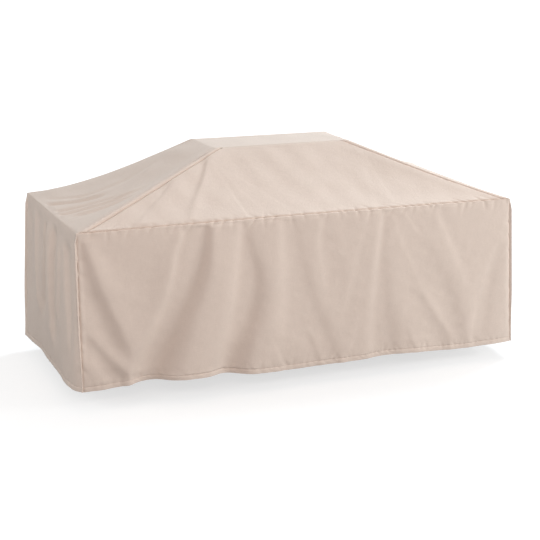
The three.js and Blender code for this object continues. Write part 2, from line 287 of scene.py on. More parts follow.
# %% [markdown]
# ## Faces
# Before any fold, each side of the cover is a smooth face. A hanging side (a skirt or an
# end) is stretched between two corner seams and swings out to its hem. A slope is stretched
# between two hips and sags in its middle. A point on a face is given by s, its share of the
# way from one side to the other, and by t, its share of the way from the top to the foot.
# OUT is the way that a face looks, and DOWN the way that water runs on it.

# %% The faces as they hang before they fold
FACES = {  # name: its two corners, and its lengths along the top and the foot
    "front_skirt": ("front_left", "front_right", EAVE_LENGTH, EAVE_LENGTH),
    "back_skirt": ("back_left", "back_right", EAVE_LENGTH, EAVE_LENGTH),
    "left_end": ("front_left", "back_left", EAVE_WIDTH, EAVE_WIDTH),
    "right_end": ("front_right", "back_right", EAVE_WIDTH, EAVE_WIDTH),
    "front_roof": ("front_left", "front_right", RIDGE_LENGTH, EAVE_LENGTH),
    "back_roof": ("back_left", "back_right", RIDGE_LENGTH, EAVE_LENGTH),
    "left_roof": ("front_left", "back_left", RIDGE_WIDTH, EAVE_WIDTH),
    "right_roof": ("front_right", "back_right", RIDGE_WIDTH, EAVE_WIDTH),
    "ridge": ("front_left", "back_left", RIDGE_WIDTH, RIDGE_WIDTH),
}
SLOPE_SAG = {"front_roof": 10, "back_roof": 12, "left_roof": 20, "right_roof": 20}
RISES = {"front_roof": 0.419, "back_roof": 0.419, "left_roof": 0.745, "right_roof": 0.745}


def unit(v):
    return v / np.linalg.norm(v)


def levels_of(face):
    return ("ridge", "eave") if face.endswith("roof") else ("eave", "hem")


def directions(face):
    """The outward and the downward direction of a face."""
    if face == "ridge":
        return np.array([0.0, 0, 1]), np.array([1.0, 0, 0])
    first, second = FACES[face][:2]
    top, foot = levels_of(face)
    down = corner(first, foot) + corner(second, foot) - corner(first, top) - corner(second, top)
    out = np.cross(down, corner(second, foot) - corner(first, foot))
    # the cross product may point inwards, and then it is turned about
    out = out if out @ (corner(first, foot) * (1, 1, 0) + (0, 0, 0.3)) > 0 else -out
    return unit(out), unit(down)


OUT = {face: directions(face)[0] for face in FACES}
DOWN = {face: directions(face)[1] for face in FACES}


def slant_of(face):
    """A slope's width square to its hip, as a share of its level width."""
    top, foot = FACES[face][2:]
    return RISES[face] / math.hypot((foot - top) / 2, RISES[face])


def face_length(face):
    return RISES.get(face, RIDGE_LENGTH if face == "ridge" else DROP)


def hanging(face, s, t):
    """A point on the smooth face."""
    first, second = FACES[face][:2]
    if face == "ridge":
        front = between(corner("front_left", "ridge"), corner("front_right", "ridge"), t)
        back = between(corner("back_left", "ridge"), corner("back_right", "ridge"), t)
        return mix(front, back, s[..., None])
    if face.endswith("roof"):
        points = mix(hip(first, 1 - t), hip(second, 1 - t), s[..., None])
        free = sagging(1 - t) * ease(np.minimum(s, 1 - s) / 0.25)
        return points - (SLOPE_SAG[face] * MM * free)[..., None] * OUT[face]
    points = mix(upright(first, t), upright(second, t), s[..., None])
    place, out, up = np.array(HEMS[face], float).T * MM
    along = s * FACES[face][3]
    t = np.clip(t, 0, None)
    points = points + (smooth_line(along, place, out) * t ** 1.4)[..., None] * OUT[face]
    points[..., 2] += smooth_line(along, place, up) * t
    return points


for face in FACES:
    print(f"{face:12s} looks {np.round(OUT[face], 2)}, falls {np.round(DOWN[face], 2)}")

# %% [markdown]
# ## Folds
# On pale cloth the eye sees the flank of a fold, not its crest: one flank turns to the light
# and one away. So the folds are written down flank by flank. Each row is a line on the cloth,
# how steeply the cloth leans where it crosses that line, at the line's start and at its end,
# and how wide the flank is on its left and on its right. A positive lean rises towards the
# right or the back. The cloth comes back to its smooth face a few widths away, so rows can be
# added one by one. Cloth simulation could throw such folds too, but
# not these folds in these places, and a table of lines can be corrected by eye.

# %% Folds by their flanks
FLANKS = {  # line as (place, distance from the eave) in mm; lean at both ends; left and right widths
    "front_skirt": [
        ([(20, 30), (50, 130), (85, 250), (125, 350), (165, 450), (196, 545)],
         (0.54, 0.55), (18, 40), (12, 16)),
        ([(75, 60), (130, 180), (180, 270)], (-0.15, -0.12), (30, 40), (30, 40)),
        ([(20, 420), (75, 500), (130, 570), (185, 640)], (0.3, 0.55), (16, 24), (12, 16)),
        ([(30, 520), (70, 590), (100, 640)], (-0.18, -0.18), (16, 20), (16, 20)),
        ([(447, 12), (438, 40), (425, 70)], (0.17, 0.12), (12, 14), (5, 8)),
        ([(462, 20), (428, 120), (408, 210), (380, 310), (345, 390), (308, 460), (262, 550), (215, 650)],
         (-0.49, -0.44), (12, 24), (12, 24)),
        ([(578, 4), (574, 50), (566, 110), (548, 190), (518, 280), (476, 370), (436, 460),
          (386, 570), (350, 660)],
         (0.73, 0.81), (14, 36), (9, 60)),
        ([(722, 4), (705, 130), (690, 250), (670, 360), (645, 470), (612, 580), (590, 660)],
         (-0.32, -0.41), (28, 40), (10, 22)),
        ([(738, 4), (756, 80), (780, 160), (796, 240), (794, 330), (768, 430), (720, 540), (682, 650)],
         (0.12, 0.6), (14, 36), (24, 56)),
        ([(905, 8), (906, 150), (903, 300), (890, 420), (880, 520)], (-0.24, -0.17), (24, 34), (24, 34)),
        ([(962, 8), (990, 100), (1012, 210), (1040, 330), (1080, 450), (1125, 570), (1150, 660)],
         (0.07, 0.2), (16, 34), (16, 30)),
        ([(1100, 10), (1086, 110), (1092, 220), (1108, 330)], (-0.22, -0.12), (16, 24), (10, 18)),
        ([(1140, 60), (1165, 190), (1195, 320), (1210, 420)], (0.06, 0.06), (26, 40), (26, 40)),
        ([(1322, 15), (1280, 150), (1245, 290), (1200, 420), (1170, 500)],
         (-0.12, -0.12), (18, 26), (12, 18)),
        ([(1396, 6), (1376, 130), (1358, 270), (1342, 400), (1328, 520), (1325, 655)],
         (-0.27, -0.2), (20, 30), (9, 20)),
        ([(1412, 8), (1405, 120), (1400, 260), (1412, 400), (1430, 520), (1440, 655)],
         (0.06, 0.18), (9, 30), (16, 60)),
        ([(1450, 30), (1482, 140), (1535, 260), (1598, 380), (1660, 490), (1755, 630)],
         (-0.1, -0.07), (10, 16), (10, 16)),
        ([(1560, 380), (1632, 490), (1712, 610)], (0.12, 0.2), (24, 36), (10, 16)),
        ([(1490, 12), (1535, 70), (1590, 140)], (-0.2, -0.1), (8, 10), (8, 12)),
        ([(1545, 50), (1620, 180), (1690, 300), (1745, 420), (1785, 540), (1805, 655)],
         (0.06, 0.22), (24, 50), (20, 34)),
        ([(1664, 12), (1700, 110), (1745, 210), (1788, 300), (1812, 380)],
         (-0.17, -0.09), (16, 26), (16, 24)),
        ([(2036, 60), (1992, 190), (1925, 350), (1872, 490), (1838, 630)], (-0.05, -0.12), (10, 40), (4, 8)),
        ([(2020, 200), (1975, 350), (1935, 500), (1912, 650)], (0.12, 0.15), (26, 40), (26, 40)),
        ([(836, 520), (870, 600), (892, 655)], (-0.12, -0.17), (9, 12), (9, 12)),
        ([(1002, 500), (1040, 580), (1065, 655)], (0.15, 0.2), (9, 12), (9, 12)),
        ([(1258, 520), (1224, 600), (1202, 655)], (-0.12, -0.17), (9, 12), (9, 12)),
        ([(1500, 560), (1528, 655)], (0.12, 0.2), (9, 12), (9, 12)),
    ],
    "left_end": [
        ([(92, 60), (88, 250), (84, 450), (80, 560)], (-0.29, -0.26), (24, 24), (24, 24)),
        ([(186, 70), (178, 130), (152, 250), (114, 400), (95, 540)], (0.65, 0.39), (20, 18), (20, 18)),
        ([(240, 90), (244, 200), (256, 320), (270, 430)], (0.44, 0.39), (16, 16), (16, 14)),
        ([(340, 50), (345, 250), (335, 450)], (-0.18, -0.16), (30, 30), (30, 30)),
        ([(404, 50), (406, 180), (396, 320), (376, 550)], (0.91, 0.65), (18, 18), (22, 16)),
        ([(455, 50), (448, 110), (438, 170)], (0.33, 0.26), (9, 9), (9, 9)),
        ([(526, 50), (520, 200), (505, 400)], (-0.21, -0.18), (22, 40), (14, 20)),
        ([(566, 50), (566, 200), (586, 360), (618, 480)], (0.78, 0.52), (16, 20), (18, 20)),
        ([(650, 50), (645, 140), (640, 230)], (0.33, 0.26), (14, 14), (12, 12)),
        ([(732, 40), (706, 170), (672, 310), (636, 460)], (0.52, 0.52), (40, 26), (16, 14)),
        ([(870, 60), (872, 250), (880, 430)], (0.39, 0.26), (24, 24), (20, 20)),
    ],
    "front_roof": [
        ([(480, 14), (512, 90), (556, 175), (604, 262), (650, 376)], (0.1, 0.6), (18, 5), (12, 4)),
        ([(520, 14), (556, 110), (604, 220), (640, 310)], (-0.06, -0.08), (16, 10), (16, 10)),
        ([(200, 14), (400, 200), (560, 400)], (0.06, 0.05), (100, 40), (110, 60)),
        ([(252, 12), (288, 62), (348, 122), (412, 186), (456, 240)], (0.1, 0.4), (10, 4), (12, 5)),
        ([(330, 14), (400, 100), (455, 175)], (-0.05, -0.05), (20, 12), (20, 12)),
        ([(762, 14), (742, 90), (712, 190), (680, 290), (664, 360)], (-0.08, -0.08), (7, 5), (10, 7)),
        ([(782, 14), (760, 90), (728, 190)], (0.07, 0.06), (8, 6), (8, 6)),
        ([(862, 14), (806, 110), (742, 220), (690, 330)], (-0.06, -0.05), (8, 6), (10, 8)),
        ([(1000, 14), (935, 80), (860, 160), (780, 250)], (-0.06, -0.04), (7, 6), (9, 7)),
        ([(1060, 20), (1110, 110), (1180, 210)], (-0.04, -0.04), (20, 26), (20, 26)),
        ([(1350, 14), (1345, 110), (1335, 220), (1325, 320)], (0.03, 0.03), (16, 14), (16, 14)),
        ([(1375, 14), (1380, 110), (1392, 220), (1400, 330)], (-0.04, -0.04), (10, 10), (10, 10)),
        ([(1468, 30), (1455, 130), (1432, 240), (1408, 340)], (-0.05, -0.05), (9, 8), (9, 8)),
    ],
    "left_roof": [
        ([(232, 30), (222, 150), (212, 260)], (-0.26, -0.22), (9, 8), (9, 8)),
        ([(278, 40), (262, 150), (250, 250), (240, 345)], (-0.54, -0.44), (9, 8), (9, 8)),
        ([(300, 60), (284, 150), (274, 250), (268, 340)], (0.54, 0.44), (13, 11), (13, 11)),
        ([(372, 15), (345, 80), (322, 160), (306, 240), (294, 325)], (-0.58, -0.5), (13, 11), (13, 11)),
        ([(400, 15), (372, 100), (348, 190), (330, 290), (318, 370)], (0.58, 0.5), (13, 11), (13, 11)),
        ([(440, 20), (408, 110), (384, 200), (362, 290), (345, 350)], (-0.58, -0.5), (13, 11), (13, 11)),
        ([(472, 20), (440, 100), (410, 190), (386, 290)], (0.58, 0.5), (13, 11), (13, 11)),
        ([(610, 18), (555, 75), (500, 150), (455, 235)], (-0.58, -0.5), (13, 11), (13, 11)),
        ([(640, 22), (585, 85), (525, 165), (478, 255)], (0.58, 0.5), (13, 11), (13, 11)),
        ([(700, 40), (630, 100), (570, 170)], (-0.36, -0.3), (13, 11), (13, 11)),
        ([(735, 40), (665, 105), (600, 180)], (0.36, 0.3), (13, 11), (13, 11)),
        ([(578, 140), (552, 220), (533, 320), (528, 420), (533, 520)], (-0.3, -0.3), (16, 30), (8, 12)),
        ([(620, 140), (585, 220), (565, 320), (560, 400)], (0.3, 0.24), (9, 9), (9, 9)),
    ],
}
TROUGHS_AND_CRESTS = {  # place at the top, the middle and the foot, rise and half-width, in mm
    "back_skirt": [(310, 290, 330, 9, 80), (620, 570, 550, -9, 65), (870, 900, 850, 9, 85),
                   (1150, 1120, 1070, -8, 65), (1410, 1390, 1350, 9, 85),
                   (1630, 1670, 1700, -9, 65), (1890, 1860, 1880, 8, 70)],
    "right_end": [(170, 190, 180, 7, 55), (320, 330, 350, -7, 48), (480, 470, 480, 8, 60),
                  (640, 630, 610, -7, 48), (780, 770, 770, 6, 55)],
    "back_roof": [(750, 650, 550, -4, 60), (1290, 1410, 1530, -4, 60)],
    "right_roof": [(380, 330, 300, 2.5, 18), (440, 430, 420, 2.5, 20), (500, 540, 560, 2.5, 18)],
}


def flank_height(rows, place, along):
    """How far the flanks move the cloth out, at a place along a side and so far from its eave."""
    height = np.zeros(np.broadcast(place, along).shape)
    for line, lean, left, right in rows:
        at, far = np.array(line, float).T * MM
        reach = np.clip((along - far[0]) / (far[-1] - far[0]), 0, 1)
        centre = smooth_line(along, far, at)
        slant = (smooth_line(along + MM, far, at) - centre) / MM
        off = (place - centre) / np.sqrt(1 + slant**2)
        width = np.where(off < 0, mix(*left, reach), mix(*right, reach)) * MM
        level = np.exp(-((off / (2.6 * width + 0.03)) ** 2))
        lead = 0.02 if far[0] < 0.035 else 0.07
        ends = ease((along - far[0]) / lead + 0.3)
        if far[-1] < 0.6:
            ends = ends * ease((far[-1] - along) / 0.1 + 0.5)
        height += mix(*lean, reach) * width * np.tanh(off / width) * level * ends
    return height


def crest_height(rows, place, t):
    """How far the round crests and troughs move the cloth out."""
    height = np.zeros(np.broadcast(place, t).shape)
    for top, middle, foot, rise, width in rows:
        centre = smooth_line(t, (0, 0.5, 1), (top * MM, middle * MM, foot * MM))
        height += rise * MM * np.exp(-(((place - centre) / (width * MM)) ** 2))
    return height


print("flanks:", {face: len(rows) for face, rows in FLANKS.items()})

# %% [markdown]
# ## Seams
# Where two pieces are sewn together the cloth changes in a strip two or three centimetres
# wide. It dips at the seam. Beside the hips the spare cloth is folded to one side and sewn
# down again, which leaves a low flat band with a stitched groove on its far side. At the corners
# of the hanging sides the spare cloth stands out as a narrow rib beside a deep groove. The hem is turned up
# and sewn. Each of these is a cross-section: a smooth line of heights over the
# distance from the seam.

# %% Cross-sections of the seams
SECTIONS = {  # distance from the seam or the hem, and height there, in mm
    "felled": [(0, 0), (2, 0.9), (7, 1.8), (12, 1.5), (14.2, -2), (16, -4.4), (17.8, -2.2), (21, 0.4),
               (27, 0.3), (36, 0)],
    "felled_side": [(0, 0), (2, 0.2), (7, 0.5), (11, 0.6), (13.4, -2.4), (16, -4.6), (19, -2.4), (25, -0.2),
                    (36, 0)],
    "plain": [(0, -3.2), (1.5, -2.2), (4, -0.4), (8, 0.3), (16, 0)],
    "rib": [(0, 8), (1.4, 8.4), (2.8, 7.4), (4.4, 3), (6.2, 0), (10, -2.6), (20, -3.2), (40, -2), (70, 0)],
    "rib_root": [(0, 8), (3, 7.4), (6, 5), (10, 2.4), (16, 0.4), (20, 0)],
    "lip": [(0, 0), (0.5, 0), (1, -6), (1.8, -13), (5, -14), (6, -11), (7.4, -6.4), (10, -3),
            (16, -1), (28, 0)],
    "hem": [(0, 0.5), (3, 1.1), (9, 1.0), (15, 0.7), (18.5, -0.8), (20, -1.9), (21.5, -0.8),
            (26, 0.2), (34, 0)],
    "eave_above": [(0, -6), (1.6, -5.6), (3.4, -1.4), (5, 0.5), (8, 1.0), (13, 0.4), (22, 0)],
    "eave_below": [(0, -6), (1.4, -5.2), (3, -0.6), (5, 0.8), (9, 0.9), (15, 0.3), (26, 0)],
    "behind_hip": [(0, 0), (10, 2.4), (30, 8.5), (55, 15), (80, 18.5), (105, 19), (150, 15.5), (230, 8),
                   (330, 2.5), (430, 0)],
    "right_hip": [(0, 0), (12, 2.4), (24, 4.0), (36, 4.0), (70, 1.6), (115, 0)],
}
EAVE_SEAM = ((0, 250, 800, 1700, 2050), (3, 6, 10, 9, 5))  # place, and how far up the slope, in mm


def eave_seam(share):
    """How far the long eave seams lie up the slopes, at that share of their length."""
    place, up = np.array(EAVE_SEAM, float) * MM
    return smooth_line(share * EAVE_LENGTH, place, up)


def section(name, distance):
    far, height = np.array(SECTIONS[name]).T * MM
    return smooth_line(distance, far, height)


for name, rows in SECTIONS.items():
    print(f"{name:11s} {rows[-1][0]} mm wide, {min(h for _, h in rows)} to {max(h for _, h in rows)} mm")

# %% [markdown]
# ## Puckers
# Thread is pulled a little tighter than cloth, so every seam gathers it into short dimples.
# Under the eave they are long and lean this way and that, and along a hem they
# are small and slanting. They are placed by chance, but from a fixed seed, so the cover
# comes out the same each time. Low, wide waves of a millimetre finish the cloth between.

# %% Puckers and soft waves
def puckers(seed, length, spacing, depth, width, reach, lean):
    """Rows of dimples along a seam: place, depth, half-width, reach and lean of each, in metres."""
    random = np.random.default_rng(seed)
    rows, place = [], 0.0
    while True:
        place += random.uniform(*spacing) * MM
        if place > length:
            return rows
        rows.append((place, random.uniform(*depth) * MM, random.uniform(*width) * MM,
                     random.uniform(*reach) * MM, random.uniform(*lean)))


def pucker_height(rows, along, distance):
    height = np.zeros(np.broadcast(along, distance).shape)
    distance = np.clip(distance, 0, None)
    for place, depth, width, reach, lean in rows:
        spread = width * (1 + 0.8 * distance / reach)
        off = (along - place - lean * distance) / spread
        height -= depth * np.exp(-off * off) * (1 - ease(distance / reach)) ** 1.5
    return height


def waves(seed, u, v, size, height):
    """Low waves about so many metres long, by adding a dozen that cross each other."""
    random = np.random.default_rng(seed)
    total = np.zeros(np.broadcast(u, v).shape)
    for _ in range(14):
        angle, phase = random.uniform(0, 2 * np.pi, 2)
        pitch = 2 * np.pi / (size * random.uniform(0.7, 1.5))
        total += np.sin((u * np.cos(angle) + v * np.sin(angle)) * pitch + phase)
    return total * height / math.sqrt(7)


EAVE_PUCKERS = {side: puckers(seed, EAVE_LENGTH, (30, 70), (2.4, 5.6), (6, 10), (40, 100), (-0.8, 0.3))
                for side, seed in (("front", 21), ("back", 22))}
HEM_PUCKERS = {face: puckers(31 + k, FACES[face][3], (16, 34), (1.2, 3.2), (6, 9), (24, 60), (-1.1, 1.1))
               for k, face in enumerate(("front_skirt", "back_skirt", "left_end", "right_end"))}
HIP_PUCKERS = puckers(41, 0.85, (14, 34), (0.3, 0.8), (6, 9), (26, 48), (-0.4, 0.4))
CORNER_PUCKERS = puckers(51, DROP, (24, 70), (1.6, 5.0), (7, 11), (30, 70), (0.2, 1.0))
print("puckers along the front eave:", len(EAVE_PUCKERS["front"]))

# %% [markdown]
# ## One function for the whole surface
# Everything above is now added up. For any face, and any place on it, `cloth` gives the point
# on the outer side of the cloth. The sheets read it on a grid, and the stitches read it
# along their lines, so a stitch always lies on its cloth. Bends that have no seam, such
# as the eaves of the two ends, are rolled over a soft edge.

# %% The finished surface
END_BELLY = 12 * MM  # how far the ends swell half way down
SEAM_TURN, EAVE_TURN = 8 * MM, 12 * MM  # where the outward direction turns to the next face
CORNER_ROLL = 2 * MM
EDGE_ROLL = {"ends": 0.013, "ridge": 0.009, "long_eaves": 0.009}
BESIDE = {  # the faces beyond the first and the second side
    "front_roof": ("left_roof", "right_roof"), "back_roof": ("left_roof", "right_roof"),
    "left_roof": ("front_roof", "back_roof"), "right_roof": ("front_roof", "back_roof"),
    "ridge": ("front_roof", "back_roof"),
    "front_skirt": ("left_end", "right_end"), "back_skirt": ("left_end", "right_end"),
    "left_end": ("front_skirt", "back_skirt"), "right_end": ("front_skirt", "back_skirt"),
}
ABOVE = {"front_skirt": "front_roof", "back_skirt": "back_roof",
         "left_end": "left_roof", "right_end": "right_roof"}
BELOW = {upper: lower for lower, upper in ABOVE.items()}


def roll_over(distance, radius, upper, lower):
    """How far a soft edge lies inside the sharp one, at a distance from the bend."""
    cut = (np.sqrt(distance**2 + radius**2) - distance) * (1 - ease(distance / (8 * radius)))
    return cut[..., None] * (lower - upper) / 2


def side_distances(face, s, t):
    """Distances from the seams at both sides of a face, square to them."""
    top, foot = FACES[face][2:]
    wide = mix(top, foot, t) * (slant_of(face) if face.endswith("roof") else 1)
    return s * wide, (1 - s) * wide


def flat_place(face, s, t):
    """Where a point lies on its flat cut: along the side from its first corner, and down."""
    top, foot = FACES[face][2:]
    wide = mix(top, foot, t)
    return (foot - wide) / 2 + s * wide, t * face_length(face)


def leaning_out(face, near_faces):
    """The outward direction, turned half way to the next face as its distance goes to nothing."""
    out = np.zeros(np.shape(near_faces[0][0]) + (3,)) + OUT[face]
    for distance, reach, other in near_faces:
        share = 1 - ease(distance / reach)
        out = out + share[..., None] * (unit(OUT[face] + OUT[other]) - OUT[face])
    return out


def rib_stands(depth):
    """How far the corner ribs stand out at a depth below the eave; they lie down at the hem."""
    return ease((depth - 0.004) / 0.05) * mix(1, 0.35, ease((depth - 0.42) / 0.22))


def cloth(face, s, t):
    """The outer side of the finished cloth at (s, t) of a face."""
    s, t = np.broadcast_arrays(np.asarray(s, float), np.asarray(t, float))
    place, depth = flat_place(face, s, t)
    first, second = side_distances(face, s, t)
    nearest = np.minimum(first, second)
    points = hanging(face, s, t)
    if face == "ridge":
        lift = section("plain", nearest) + waves(71, place, depth, 0.18, 0.8 * MM) * ease(nearest / 0.03)
        out = leaning_out(face, [(first, SEAM_TURN, "front_roof"), (second, SEAM_TURN, "back_roof")])
        radius = mix(CORNER_ROLL, EDGE_ROLL["ridge"], ease(nearest / 0.05))
        points = points + roll_over(depth, radius, np.array([-1.0, 0, 0]), DOWN["left_roof"])
        points = points + roll_over(RIDGE_LENGTH - depth, radius, np.array([1.0, 0, 0]), DOWN["right_roof"])
    elif face in ABOVE:
        upper = ABOVE[face]
        roll = EDGE_ROLL["long_eaves" if face.endswith("skirt") else "ends"]
        radius = mix(CORNER_ROLL, roll, ease(nearest / 0.06))
        points = points + roll_over(depth, radius, DOWN[upper], DOWN[face])
        corners = [(first, SEAM_TURN, BESIDE[face][0]), (second, SEAM_TURN, BESIDE[face][1])]
        out = leaning_out(face, [(depth, EAVE_TURN, upper)] + corners)
        lift = hanging_side(face, s, place, depth, first, second)
        ends = (face, face) if face.endswith("end") else BESIDE[face]
        shape = "rib" if face.endswith("end") else "rib_root"
        for end, distance in zip(ends, (first, second)):
            points = points + (section(shape, distance) * rib_stands(depth))[..., None] * OUT[end]
    else:
        lower = BELOW[face]
        up = RISES[face] - depth
        roll = EDGE_ROLL["long_eaves" if lower.endswith("skirt") else "ends"]
        radius = mix(CORNER_ROLL, roll, ease(nearest / 0.06))
        points = points + roll_over(up, radius, DOWN[face], DOWN[lower])
        near = [(first, SEAM_TURN, BESIDE[face][0]), (second, SEAM_TURN, BESIDE[face][1])]
        near.append((up, EAVE_TURN, lower))
        if lower.endswith("skirt"):
            near.append((depth, SEAM_TURN, "ridge"))
        else:
            level = np.array([-1.0 if face == "left_roof" else 1.0, 0, 0])
            radius = mix(CORNER_ROLL, EDGE_ROLL["ridge"], ease(nearest / 0.05))
            points = points + roll_over(depth, radius, level, DOWN[face])
        out = leaning_out(face, near)
        lift = sloping_side(face, s, place, depth, t, first, second)
    return points + lift[..., None] * out


def hanging_side(face, s, place, depth, first, second):
    """Height of the cloth on a skirt or an end. Each ease fades a part in over so many metres."""
    nearest = np.minimum(first, second)
    from_hem = DROP - depth
    folds = flank_height(FLANKS.get(face, ()), place, depth)
    folds = folds + crest_height(TROUGHS_AND_CRESTS.get(face, ()), place, depth / DROP) * ease(depth / 0.09)
    seed = len(face) + 60
    folds = folds + waves(seed, place, depth, 0.2, 0.9 * MM) + waves(seed + 9, place, depth, 0.07, 0.3 * MM)
    height = folds * ease(nearest / 0.028) * ease((depth - 0.002) / 0.016)
    height += section("hem", from_hem) * ease(nearest / 0.004)
    height += pucker_height(HEM_PUCKERS[face], place, np.abs(from_hem - 0.02)) * ease(nearest / 0.02)
    pulls = pucker_height(CORNER_PUCKERS, depth, first) + pucker_height(CORNER_PUCKERS, depth, second)
    height += pulls * ease(nearest / 0.01)
    if face.endswith("skirt"):
        from_seam = depth + eave_seam(s)
        height += section("eave_below", from_seam) * ease(nearest / 0.006)
        side = face.split("_")[0]
        height += pucker_height(EAVE_PUCKERS[side], place, from_seam) * ease(nearest / 0.02)
        height += section("lip", nearest) * rib_stands(depth)
    else:
        height += END_BELLY * np.sin(math.pi * depth / DROP) * ease(nearest / 0.3)
    return height


def sloping_side(face, s, place, depth, t, first, second):
    """Height of the cloth on a slope. Each ease fades a part in over so many metres."""
    nearest = np.minimum(first, second)
    up = RISES[face] - depth
    folds = flank_height(FLANKS.get(face, ()), place, up)
    crests = crest_height(TROUGHS_AND_CRESTS.get(face, ()), place, t)
    folds = folds + crests * ease(up / 0.06) * ease(depth / 0.2)
    folds = folds + waves(len(face) + 80, place, depth, 0.16, 0.6 * MM)
    height = folds * ease(nearest / 0.02) * ease(up / 0.03) * ease(depth / 0.02)
    if face in ("left_roof", "right_roof"):
        height += section("felled_side", nearest)
        if face == "left_roof":
            height += section("behind_hip", second) * ease(up / 0.12) * ease(depth / 0.12)
        return height
    seam = eave_seam(s)
    above, below = np.clip(up - seam, 0, None), np.clip(seam - up, 0, None)
    dip = np.where(up > seam, section("eave_above", above), section("eave_below", below))
    height += dip * ease(nearest / 0.006)
    side = face.split("_")[0]
    height += pucker_height(EAVE_PUCKERS[side], s * EAVE_LENGTH, above * 2.2 + below) * ease(nearest / 0.02)
    gathers = pucker_height(HIP_PUCKERS, np.hypot(place, up), np.abs(nearest - 0.016))
    height += section("felled", nearest) + gathers * ease(nearest / 0.008)
    if face == "front_roof":
        height += section("right_hip", second) * ease(up / 0.1) * ease(depth / 0.1)
    return height + section("plain", depth)


corner_check = cloth("front_skirt", np.array([0.0]), np.array([0.0]))[0]
print("front left eave corner:", np.round(corner_check, 4))

# %% [markdown]
# ## Grids
# A sheet is cut flat and then laid in place, as the real piece is. The flat cut is a grid
# primitive, and its lines are crowded where the cloth changes fast, beside seams, and
# open where it only waves. The grid's UV map keeps the flat cut in metres, so that the weave
# later runs true along the threads, whatever the folds do.

# %% Grid lines
SEAM_LINES = [0.3, 1, 1.8, 3, 4.6, 6.6, 9, 11.5, 13.2, 14.4, 15.3, 16, 16.7, 17.6, 19.2, 22, 26.5, 32]
RIB_LINES = [0.7, 1.4, 2.2, 3.2, 4.4, 5.6, 7.4, 10, 14, 20, 26, 32]
CORNER_LINES = [0.5, 0.8, 1.1, 1.5, 2, 2.8, 3.8, 4.8, 5.4, 6, 6.7, 7.6, 9, 11, 14, 18, 24, 32]
RIDGE_SEAM_LINES = [0.3, 1.3, 2.6, 4.4, 7, 11, 17]
EAVE_SEAM_LINES = [0.2, 0.9, 1.7, 2.8, 4.4, 7, 11, 17]
SKIRT_TOP_LINES = [0, 1.5, 3.5, 6, 9, 13, 18, 25]
BEND_LINES = [0, 3.5, 7.5, 13, 20, 30]
HEM_LINES = [0, 1.5, 4, 8, 12.5, 16, 18, 19.3, 20.7, 22.2, 25, 29.5, 35]


def spread(start, end, spacing):
    count = max(2, round((end - start) / spacing) + 1)
    return np.linspace(start, end, count)


def grid_lines(length, near, far, spacing):
    """Lines from 0 to length, with the near list at the start and the far list at the end."""
    near, far = np.array(near) * MM, length - np.array(far)[::-1] * MM
    return np.concatenate([near, spread(near[-1], far[0], spacing)[1:-1], far])


print("lines across the front skirt:", len(grid_lines(EAVE_LENGTH, SEAM_LINES, SEAM_LINES, 6 * MM)))

# %% [markdown]
# ## From grid to sheet
# The grid primitive has all its vertices in rows, so one array of points lays the whole
# sheet. The first row of a sheet is at its foot or its left, and the columns run so
# that the faces look outwards. Solidify then gives the cloth its thickness inwards, with
# closed rims, and smooth shading hides the grid.

# %% Laying a sheet
CLOTH_THICKNESS = 1.1 * MM


def lay_sheet(name, points, flat):
    """A closed sheet from rows of points, with its flat cut, in metres, as its UV map."""
    rows, columns = points.shape[:2]
    bpy.ops.object.select_all(action="DESELECT")
    bpy.ops.mesh.primitive_grid_add(x_subdivisions=columns - 1, y_subdivisions=rows - 1, size=1)
    sheet = bpy.context.object
    sheet.name = sheet.data.name = name
    mesh = sheet.data
    mesh.vertices.foreach_set("co", points.reshape(-1))
    corners = np.empty(len(mesh.loops), dtype=np.int32)
    mesh.loops.foreach_get("vertex_index", corners)
    mesh.uv_layers[0].name = "flat_cut"
    mesh.uv_layers[0].data.foreach_set("uv", flat.reshape(-1, 2)[corners].reshape(-1).astype(np.float32))
    mesh.update()
    wall = sheet.modifiers.new("cloth_thickness", "SOLIDIFY")
    wall.thickness = CLOTH_THICKNESS
    wall.offset = -1
    bpy.ops.object.modifier_apply(modifier=wall.name)
    bpy.ops.object.shade_smooth_by_angle(angle=math.radians(60))
    triangles = sum(len(face.vertices) - 2 for face in sheet.data.polygons)
    print(f"{name}: {rows} x {columns} grid, {triangles} triangles")
    return sheet


def roof_shares(face, lines, t):
    """Shares across a slope: the outer lines keep their distance from the hips, as seams do."""
    top, foot = FACES[face][2:]
    wide = mix(top, foot, t) * slant_of(face)
    whole = foot * slant_of(face)
    edge = sum(lines < 33 * MM)
    shares = np.empty(len(lines))
    shares[:edge] = lines[:edge] / wide
    shares[-edge:] = 1 - (whole - lines[-edge:]) / wide
    inner = (lines[edge:-edge] - lines[edge - 1]) / (lines[-edge] - lines[edge - 1])
    shares[edge:-edge] = mix(shares[edge - 1], shares[-edge], inner)
    return shares


print("cloth:", CLOTH_THICKNESS * 1000, "mm thick")

# %% [markdown]
# ## The long slopes
# The front and the back slope are trapezoids between two hips, the ridge and the eave. Their
# columns fan out from the ridge to the eave. The slope stops up to 10 mm above the eave, where
# the skirt's top edge laps over the table edge to meet it.

# %% Front and back slope
def lay_long_slope(name, spacing, down_spacing):
    rise = RISES[name]
    slant = slant_of(name)
    lines = grid_lines(EAVE_LENGTH * slant, SEAM_LINES, SEAM_LINES, spacing * slant)
    down = grid_lines(rise, RIDGE_SEAM_LINES, EAVE_SEAM_LINES, down_spacing)
    t = down[::-1] / rise
    s = np.array([roof_shares(name, lines, row) for row in t])
    s = s if name == "front_roof" else s[:, ::-1]
    t = t[:, None] * (1 - eave_seam(s) / rise)
    points = cloth(name, s, t)
    place, depth = flat_place(name, s, t)
    return lay_sheet(name + "_cloth", points, np.stack([place, rise - depth], axis=-1))


front_roof = lay_long_slope("front_roof", 5.6 * MM, 4.8 * MM)
back_roof = lay_long_slope("back_roof", 13 * MM, 12 * MM)

